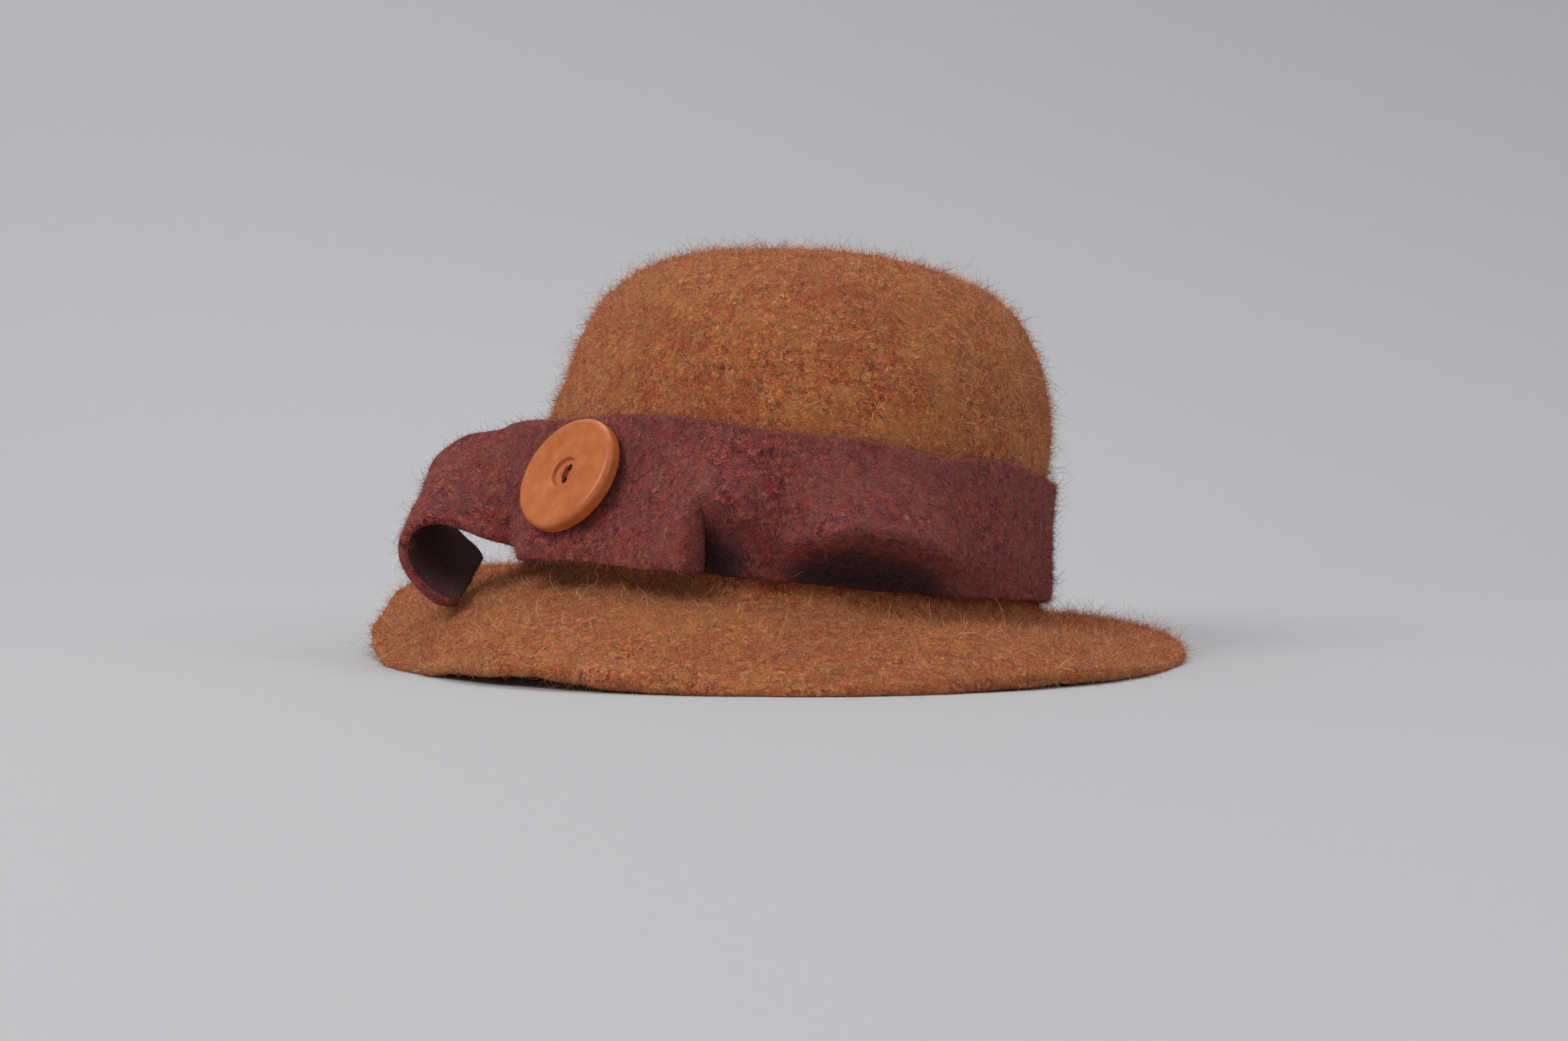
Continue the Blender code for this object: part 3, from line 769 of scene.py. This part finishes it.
def surface_spots(item, count, rng, wanted):
    """Random spots on an object's surface with their normals, where wanted says so."""
    mesh = item.data
    mesh.calc_loop_triangles()
    corners = np.zeros(len(mesh.loop_triangles) * 3, int)
    mesh.loop_triangles.foreach_get("vertices", corners)
    points = vertex_values(mesh, "co")
    a, b, c = (points[corners[n::3]] for n in range(3))
    square = np.cross(b - a, c - a)
    area = np.linalg.norm(square, axis=-1)
    normal = square / np.maximum(area, 1e-12)[:, None]
    # the band's back and the painted shade in its hollows, read from the mesh
    back_and_shade = np.zeros(len(points))
    if "back_and_shade" in mesh.attributes:
        mesh.attributes["back_and_shade"].data.foreach_get("value", back_and_shade)
    area = area * wanted((a + b + c) / 3, normal, back_and_shade[corners[::3]])
    pick = rng.choice(len(area), count, p=area / area.sum())
    share = rng.dirichlet((1, 1, 1), count)
    spots = a[pick] * share[:, :1] + b[pick] * share[:, 1:2] + c[pick] * share[:, 2:]
    return spots, normal[pick]


def unit(vectors):
    return vectors / np.maximum(np.linalg.norm(vectors, axis=-1, keepdims=True), 1e-12)


def make_fibres(item, kind, wanted, materials):
    """Fine curled fibres of a kind, as one mesh of narrow ribbons that stand on an object's surface."""
    name, count, seed, joints, length, rise, curl, width = kind
    rng = np.random.default_rng(seed)
    spots, normal = surface_spots(item, count, rng, wanted)
    along = unit(np.cross(normal, rng.normal(size=(count, 3))))
    beside = np.cross(normal, along)
    size = length * np.exp(np.clip(rng.normal(0, 0.45, count), -0.9, 0.75)) / joints
    tilt = rise * rng.uniform(0.25, 1.0, count)
    turn = rng.normal(0, curl, count) / joints
    twist = unit(rng.normal(size=(count, 3)))
    place = spots - normal * 0.15 * MM
    rows = [place]
    heading = np.zeros(count)
    for k in range(joints):
        heading = heading + turn + rng.normal(0, curl * 0.25 / joints, count)
        lean = tilt * (1 - 0.75 * k / joints)
        level = along * np.cos(heading)[:, None] + beside * np.sin(heading)[:, None]
        step = level * np.cos(lean)[:, None] + normal * np.sin(lean)[:, None]
        place = place + step * size[:, None]
        rows.append(place)
    rows = np.array(rows)
    rows[..., 2] = np.maximum(rows[..., 2], 0.05 * MM)
    across = unit(np.cross(rows[1] - rows[0], twist))
    left = []
    for k in range(joints):
        half = across * width / 2 * (1 - 0.5 * k / joints)
        left.append(np.stack((rows[k] - half, rows[k] + half), 1))
    points = np.concatenate(left + [rows[-1][:, None]], axis=1)
    each = 2 * joints + 1
    start = np.arange(count)[:, None] * each
    faces = []
    for k in range(joints - 1):
        faces.append(start + np.array((2 * k, 2 * k + 1, 2 * k + 3, 2 * k + 2)))
    quads = np.concatenate(faces).tolist() if faces else []
    tips = (start + np.array((2 * joints - 2, 2 * joints - 1, 2 * joints))).tolist()
    mesh = bpy.data.meshes.new(name)
    mesh.from_pydata(points.reshape(-1, 3).tolist(), [], quads + tips)
    tint = rng.integers(0, len(materials), count)
    slots = np.concatenate([tint] * joints).astype(np.int32)
    for material in materials:
        mesh.materials.append(material)
    mesh.polygons.foreach_set("material_index", slots)
    mesh.shade_smooth()
    return new_object(name, mesh)


# Materials

def add(tree, kind, settings=None, **inputs):
    """A node with its settings and inputs: a socket is linked, a number or colour is set."""
    node = tree.nodes.new(kind)
    for key, value in (settings or {}).items():
        setattr(node, key, value)
    for key, value in inputs.items():
        by_number = key[0] == "i" and key[1:].isdigit()
        socket = node.inputs[int(key[1:]) if by_number else key.replace("_", " ")]
        if isinstance(value, bpy.types.NodeSocket):
            tree.links.new(value, socket)
        else:
            socket.default_value = value
    return node


def new_material(name, roughness, specular, sheen=0.0, tint=(1, 1, 1)):
    """Material with a Principled shader whose even values are set, its node tree and the shader."""
    material = bpy.data.materials.new(name)
    material.use_nodes = True
    shader = material.node_tree.nodes["Principled BSDF"]
    shader.inputs["Roughness"].default_value = roughness
    shader.inputs["Sheen Weight"].default_value = sheen
    shader.inputs["Sheen Roughness"].default_value = 0.45
    shader.inputs["Sheen Tint"].default_value = (*tint, 1)
    shader.inputs["Specular IOR Level"].default_value = specular
    return material, material.node_tree, shader


def scaled(tree, vector, factor):
    return add(tree, "ShaderNodeVectorMath", {"operation": "SCALE"}, i0=vector, Scale=factor).outputs[0]


def in_millimetres(tree):
    """The shaded point's own place on the object, in millimetres."""
    return scaled(tree, add(tree, "ShaderNodeTexCoord").outputs["Object"], 1 / MM)


def noise(tree, vector, scale, detail, roughness=0.55):
    inputs = {"Vector": vector, "Scale": scale, "Detail": detail, "Roughness": roughness}
    return add(tree, "ShaderNodeTexNoise", None, **inputs).outputs["Fac"]


def shifted(tree, vector, offset):
    return add(tree, "ShaderNodeVectorMath", {"operation": "ADD"}, i0=vector, i1=offset).outputs[0]


def ranged(tree, value, low, high, to_low=0.0, to_high=1.0):
    node = add(tree, "ShaderNodeMapRange", {"interpolation_type": "SMOOTHSTEP"}, Value=value)
    node.inputs["From Min"].default_value = low
    node.inputs["From Max"].default_value = high
    node.inputs["To Min"].default_value = to_low
    node.inputs["To Max"].default_value = to_high
    return node.outputs["Result"]


def mixed(tree, factor, first, second):
    node = add(tree, "ShaderNodeMix", {"data_type": "RGBA"})
    for socket, value in ((node.inputs[0], factor), (node.inputs[6], first), (node.inputs[7], second)):
        if isinstance(value, bpy.types.NodeSocket):
            tree.links.new(value, socket)
        elif isinstance(value, tuple):
            socket.default_value = (*value, 1)
        else:
            socket.default_value = value
    return node.outputs[2]


def maths(tree, operation, first, second=0.0):
    return add(tree, "ShaderNodeMath", {"operation": operation}, i0=first, i1=second).outputs[0]


def ramp(tree, value, stops):
    node = add(tree, "ShaderNodeValToRGB", None, Fac=value)
    points = node.color_ramp.elements
    while len(points) < len(stops):
        points.new(1.0)
    for point, (place, colour) in zip(points, stops):
        point.position = place
        point.color = (*colour, 1)
    return node.outputs["Color"]


def give_bump(tree, shader, height, strength, distance):
    bump = add(tree, "ShaderNodeBump", None, Strength=strength, Distance=distance, Height=height)
    tree.links.new(bump.outputs[0], shader.inputs["Normal"])


def curled_lines(tree, vector, scale, sharpness):
    """Thin curling lines, 1 on a line and 0 away from it, along a level of a noise."""
    level = noise(tree, vector, scale, 1.0, 0.5)
    away = maths(tree, "ABSOLUTE", maths(tree, "SUBTRACT", level, 0.5))
    return ranged(tree, away, sharpness, 0.0)


def felt(name, stops, dyes, patches, flecks, fibre, sheen_tint, back_and_shade=None):
    """Heathered wool felt: flecks and patches of dyed wool, curled fibres and a fuzzy bump.

    Stops go from the darkest to the lightest wool. Each dye and patch is a colour with its share, and
    dyes lie in spots of a few millimetres, patches in spots of a few centimetres. Each fleck is a
    colour, the two levels of noise between which it sets in, its share and its noise's scale.
    """
    material, tree, shader = new_material(name, roughness=0.92, specular=0.10, sheen=0.30, tint=sheen_tint)
    place = in_millimetres(tree)
    drift = add(tree, "ShaderNodeTexNoise", None, Vector=place, Scale=0.50, Detail=1.0).outputs["Color"]
    drift = shifted(tree, drift, (-0.5, -0.5, -0.5))
    curled = shifted(tree, place, scaled(tree, drift, 3.2))
    coarse = noise(tree, curled, 0.46, 3.0, 0.65)
    fine = noise(tree, shifted(tree, curled, (31.0, 7.0, 19.0)), 1.60, 3.0, 0.65)
    tone = maths(tree, "ADD", maths(tree, "MULTIPLY", coarse, 0.48), maths(tree, "MULTIPLY", fine, 0.52))
    colour = ramp(tree, ranged(tree, tone, 0.37, 0.63), stops)
    for number, (dye, amount) in enumerate(dyes):
        spot = noise(tree, shifted(tree, curled, (17.0 * number, 91.0, 23.0)), 0.20, 2.0, 0.6)
        colour = mixed(tree, ranged(tree, spot, 0.48, 0.64, 0.0, amount), colour, dye)
    for number, (patch, amount) in enumerate(patches):
        spot = noise(tree, shifted(tree, place, (41.0, 29.0 * number, 3.0)), 0.040, 2.0, 0.5)
        colour = mixed(tree, ranged(tree, spot, 0.47, 0.64, 0.0, amount), colour, patch)
    for number, (fleck, low, high, amount, scale) in enumerate(flecks):
        spot = noise(tree, shifted(tree, curled, (11.0 * number + 5, 3.0, 47.0)), scale, 2.0, 0.55)
        colour = mixed(tree, ranged(tree, spot, low, high, 0.0, amount), colour, fleck)
    lines = curled_lines(tree, shifted(tree, curled, (3.0, 71.0, 9.0)), 0.60, 0.022)
    other = curled_lines(tree, shifted(tree, curled, (53.0, 2.0, 29.0)), 0.90, 0.020)
    strands = maths(tree, "MAXIMUM", lines, maths(tree, "MULTIPLY", other, 0.7))
    colour = mixed(tree, maths(tree, "MULTIPLY", strands, 0.52), colour, fibre)
    # towards the given dark where the mesh's attribute says: the band's near-black back, and painted shade in
    # the hollows under the ruffles' lips
    if back_and_shade:
        side = add(tree, "ShaderNodeAttribute", {"attribute_name": "back_and_shade"}).outputs["Fac"]
        back_and_shade_colour = mixed(tree, 0.95, colour, back_and_shade)
        colour = mixed(tree, ranged(tree, side, 0.15, 0.9), colour, back_and_shade_colour)
    tree.links.new(colour, shader.inputs["Base Color"])
    relief = maths(tree, "ADD", coarse, maths(tree, "MULTIPLY", fine, 0.6))
    relief = maths(tree, "ADD", relief, maths(tree, "MULTIPLY", strands, 0.20))
    give_bump(tree, shader, relief, strength=0.85, distance=0.0014)
    return material


def fibre_material(name, colour):
    """One dye of loose wool fibre, darker in places and with a soft sheen of its own colour."""
    material, tree, shader = new_material(name, roughness=0.8, specular=0.2, sheen=0.5, tint=colour)
    place = add(tree, "ShaderNodeTexCoord").outputs["Object"]
    tone = noise(tree, place, 160.0, 1.0)
    darker = tuple(0.72 * part for part in colour)
    tree.links.new(mixed(tree, ranged(tree, tone, 0.35, 0.65), darker, colour), shader.inputs["Base Color"])
    return material


def plastic_material():
    """Moulded plastic of the button: soft marbling, faint dark specks and a fine grain."""
    material, tree, shader = new_material("button_orange", roughness=0.38, specular=0.38)
    shader.inputs["Coat Weight"].default_value = 0.15
    shader.inputs["Coat Roughness"].default_value = 0.25
    shader.inputs["Subsurface Weight"].default_value = 0.12
    shader.inputs["Subsurface Radius"].default_value = (0.004, 0.0015, 0.0006)
    place = in_millimetres(tree)
    cloud = noise(tree, place, 0.16, 3.0, 0.6)
    stops = ((0.32, (0.48, 0.118, 0.022)), (0.52, (0.56, 0.150, 0.034)), (0.70, (0.61, 0.19, 0.052)))
    colour = ramp(tree, cloud, stops)
    speck = noise(tree, place, 0.95, 2.0, 0.5)
    colour = mixed(tree, ranged(tree, speck, 0.68, 0.74, 0.0, 0.45), colour, (0.30, 0.075, 0.02))
    tree.links.new(colour, shader.inputs["Base Color"])
    grain = noise(tree, place, 2.6, 3.0, 0.6)
    tree.links.new(ranged(tree, grain, 0.3, 0.7, 0.30, 0.46), shader.inputs["Roughness"])
    give_bump(tree, shader, grain, strength=0.25, distance=0.00012)
    return material


def ribbon_material():
    """Dark ribbed ribbon, its ribs across its width."""
    material, tree, shader = new_material(
        "navy_ribbon", roughness=0.72, specular=0.25, sheen=0.25, tint=(0.25, 0.3, 0.5)
    )
    around = add(tree, "ShaderNodeAttribute", {"attribute_name": "ribs"}).outputs["Fac"]
    ribs = maths(tree, "SINE", maths(tree, "MULTIPLY", around, 2 * math.pi))
    place = in_millimetres(tree)
    weave = noise(tree, place, 1.8, 2.0, 0.6)
    tone = maths(tree, "ADD", maths(tree, "MULTIPLY", ribs, 0.12), weave)
    stops = ((0.25, (0.008, 0.010, 0.022)), (0.55, (0.018, 0.022, 0.042)), (0.85, (0.036, 0.042, 0.07)))
    colour = ramp(tree, tone, stops)
    tree.links.new(colour, shader.inputs["Base Color"])
    relief = maths(tree, "ADD", maths(tree, "MULTIPLY", ribs, 0.5), maths(tree, "MULTIPLY", weave, 0.6))
    give_bump(tree, shader, relief, strength=0.6, distance=0.00025)
    return material


def thread_material():
    """Twisted sewing thread."""
    material, tree, shader = new_material(
        "burgundy_thread", roughness=0.6, specular=0.3, sheen=0.2, tint=(0.5, 0.2, 0.2)
    )
    place = in_millimetres(tree)
    fine = noise(tree, place, 4.0, 2.0, 0.6)
    colour = ramp(tree, fine, ((0.35, (0.07, 0.012, 0.014)), (0.65, (0.20, 0.035, 0.035))))
    tree.links.new(colour, shader.inputs["Base Color"])
    give_bump(tree, shader, fine, strength=0.5, distance=0.0001)
    return material


def give(item, material):
    """Make a material the object's only one."""
    item.data.materials.clear()
    item.data.materials.append(material)


def place_piece(item, slot, *nodes):
    """Let a piece ride on the hat and hide the nodes that it stands for; its slot is not used."""
    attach(item, "root")
    if nodes:
        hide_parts(*nodes)


def make_pieces():
    shift = hat_shift()
    amber = felt(
        "amber_felt",
        stops=((0.0, (0.09, 0.020, 0.018)), (0.24, (0.29, 0.056, 0.028)), (0.50, (0.50, 0.106, 0.040)),
               (0.74, (0.64, 0.182, 0.058)), (1.0, (0.80, 0.370, 0.155))),
        dyes=(((0.47, 0.070, 0.032), 0.60), ((0.26, 0.140, 0.055), 0.36), ((0.66, 0.260, 0.070), 0.42)),
        patches=(((0.36, 0.070, 0.034), 0.42), ((0.56, 0.200, 0.060), 0.35)),
        flecks=(((0.10, 0.018, 0.022), 0.62, 0.72, 0.65, 0.55), ((0.20, 0.16, 0.07), 0.63, 0.72, 0.45, 0.70),
                ((0.74, 0.38, 0.13), 0.62, 0.70, 0.45, 0.95)),
        fibre=(0.84, 0.43, 0.15),
        sheen_tint=(1.0, 0.64, 0.36),
    )
    burgundy = felt(
        "burgundy_felt",
        stops=((0.0, (0.036, 0.010, 0.015)), (0.24, (0.135, 0.022, 0.025)), (0.50, (0.270, 0.046, 0.042)),
               (0.74, (0.390, 0.078, 0.064)), (1.0, (0.52, 0.165, 0.120))),
        dyes=(((0.36, 0.035, 0.040), 0.55), ((0.115, 0.030, 0.045), 0.50), ((0.26, 0.110, 0.080), 0.40)),
        patches=(((0.15, 0.030, 0.035), 0.40), ((0.30, 0.085, 0.070), 0.35)),
        flecks=(((0.030, 0.014, 0.030), 0.61, 0.70, 0.65, 0.55), ((0.17, 0.15, 0.10), 0.63, 0.72, 0.45, 0.70),
                ((0.48, 0.06, 0.06), 0.61, 0.69, 0.50, 0.90)),
        fibre=(0.52, 0.19, 0.14),
        sheen_tint=(1.0, 0.44, 0.38),
        # near-black back of the band, also painted as shade into the hollows under the lips
        back_and_shade=(0.012, 0.010, 0.020),
    )
    amber_dyes = [fibre_material(f"amber_fibre_{n}", dye) for n, dye in enumerate(AMBER_DYES)]
    burgundy_dyes = [fibre_material(f"burgundy_fibre_{n}", dye) for n, dye in enumerate(BURGUNDY_DYES)]

    body = make_body(shift)
    give(body, amber)
    place_piece(body, "amber_felt", "hat_body")
    band = make_band(shift)
    give(band, burgundy)
    place_piece(band, "burgundy_felt", "band")
    ribbon = make_inner_band(shift)
    give(ribbon, ribbon_material())
    place_piece(ribbon, "navy_ribbon", "inner_band")
    button = make_button()
    give(button, plastic_material())
    place_piece(button, "orange_plastic", "button")
    thread = make_thread()
    give(thread, thread_material())
    place_piece(thread, "burgundy_thread", "button_thread")

    low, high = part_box("hat_body")
    middle = np.array(((low.x + high.x) / 2, (low.y + high.y) / 2))

    def outside(place, normal, back_and_shade):
        out = ((place[:, :2] - middle) * normal[:, :2]).sum(1) > 0
        x, y, z = (place - shift).T
        height = z - opening_z(x, y)
        behind_band = (height > bare_low) & (height < bare_high) & (normal[:, 2] < 0.5)
        seen = (normal[:, 2] > 0.2) | out & (normal[:, 2] > -0.4)
        return np.where(seen & ~behind_band, 1.0, 0.0)

    def under_brim(place, normal, back_and_shade):
        return np.where((normal[:, 2] < 0) & (place[:, 2] < under_brim_height), 1.0, 0.0)

    # fibres only on the band's front, not on its back or in its painted-shade hollows
    def unshaded_front(place, normal, back_and_shade):
        return np.where(back_and_shade < 0.5, 1.0, 0.0)

    for kind, wanted in zip(FELT_FIBRES, (outside, under_brim, outside, under_brim)):
        place_piece(make_fibres(body, kind, wanted, amber_dyes), "amber_felt")
    for kind in BAND_FIBRES:
        place_piece(make_fibres(band, kind, unshaded_front, burgundy_dyes), "burgundy_felt")


# Stage

def make_stage():
    """Pale floor that rises into a round wall far behind the hat."""
    outline = [(radius, 0.0) for radius in (0.25, 0.4, 0.55)]
    for angle in np.linspace(-90, 0, 24)[1:]:
        t = math.radians(angle)
        outline.append((stage_flat + stage_reach * math.cos(t), stage_rise + stage_rise * math.sin(t)))
    outline += [(stage_flat + stage_reach, 1.8), (stage_flat + stage_reach, stage_top)]
    count = stage_sides
    angles = np.linspace(0, 2 * math.pi, count, endpoint=False)
    rows = [np.stack((r * np.cos(angles), r * np.sin(angles), np.full(count, z)), -1) for r, z in outline]
    points = np.concatenate(rows + [np.zeros((1, 3))])
    faces = []
    for k in range(len(rows) - 1):
        for n in range(count):
            m = (n + 1) % count
            faces.append((count * k + n, count * (k + 1) + n, count * (k + 1) + m, count * k + m))
    faces += [(len(points) - 1, n, (n + 1) % count) for n in range(count)]
    mesh = bpy.data.meshes.new("stage_floor")
    mesh.from_pydata(points.tolist(), [], faces)
    mesh.shade_smooth()
    item = new_object("stage_floor", mesh)
    material, tree, shader = new_material("stage_paint", roughness=0.9, specular=0.2)
    shader.inputs["Base Color"].default_value = stage_colour
    item.data.materials.append(material)


def aim(item, target):
    way = Vector(target) - item.location
    item.rotation_euler = way.to_track_quat("-Z", "Y").to_euler()


def make_lights():
    """Round soft lamps that no camera sees, and an even pale world."""
    for name, place, target, size, power, colour in LAMPS:
        data = bpy.data.lights.new(name, "AREA")
        data.shape = "DISK"
        data.size = size
        data.energy = power
        data.color = colour
        item = new_object(name, data)
        item.location = place
        item.visible_camera = False
        aim(item, target)
    world = bpy.data.worlds.new("studio")
    world.use_nodes = True
    background = world.node_tree.nodes["Background"]
    background.inputs["Color"].default_value = world_colour
    background.inputs["Strength"].default_value = world_strength
    bpy.context.scene.world = world
    bpy.context.scene.view_settings.view_transform = "Standard"


def make_camera():
    """Camera straight in front and low over the floor, with the photo's lens and distance."""
    low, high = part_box("hat_body")
    middle = Vector(((low.x + high.x) / 2, (low.y + high.y) / 2, (low.z + high.z) / 2))
    elevation = math.radians(camera_elevation)
    azimuth = math.radians(camera_azimuth)
    data = bpy.data.cameras.new("camera")
    data.sensor_width = 36.0
    data.lens = camera_lens
    data.clip_end = 20.0
    item = new_object("camera", data)
    item.location = middle + camera_distance * Vector((
        math.sin(azimuth) * math.cos(elevation), -math.cos(azimuth) * math.cos(elevation), math.sin(elevation)
    ))
    aim(item, middle + Vector(camera_aim))
    bpy.context.scene.camera = item


make_pieces()
make_stage()
make_lights()
make_camera()
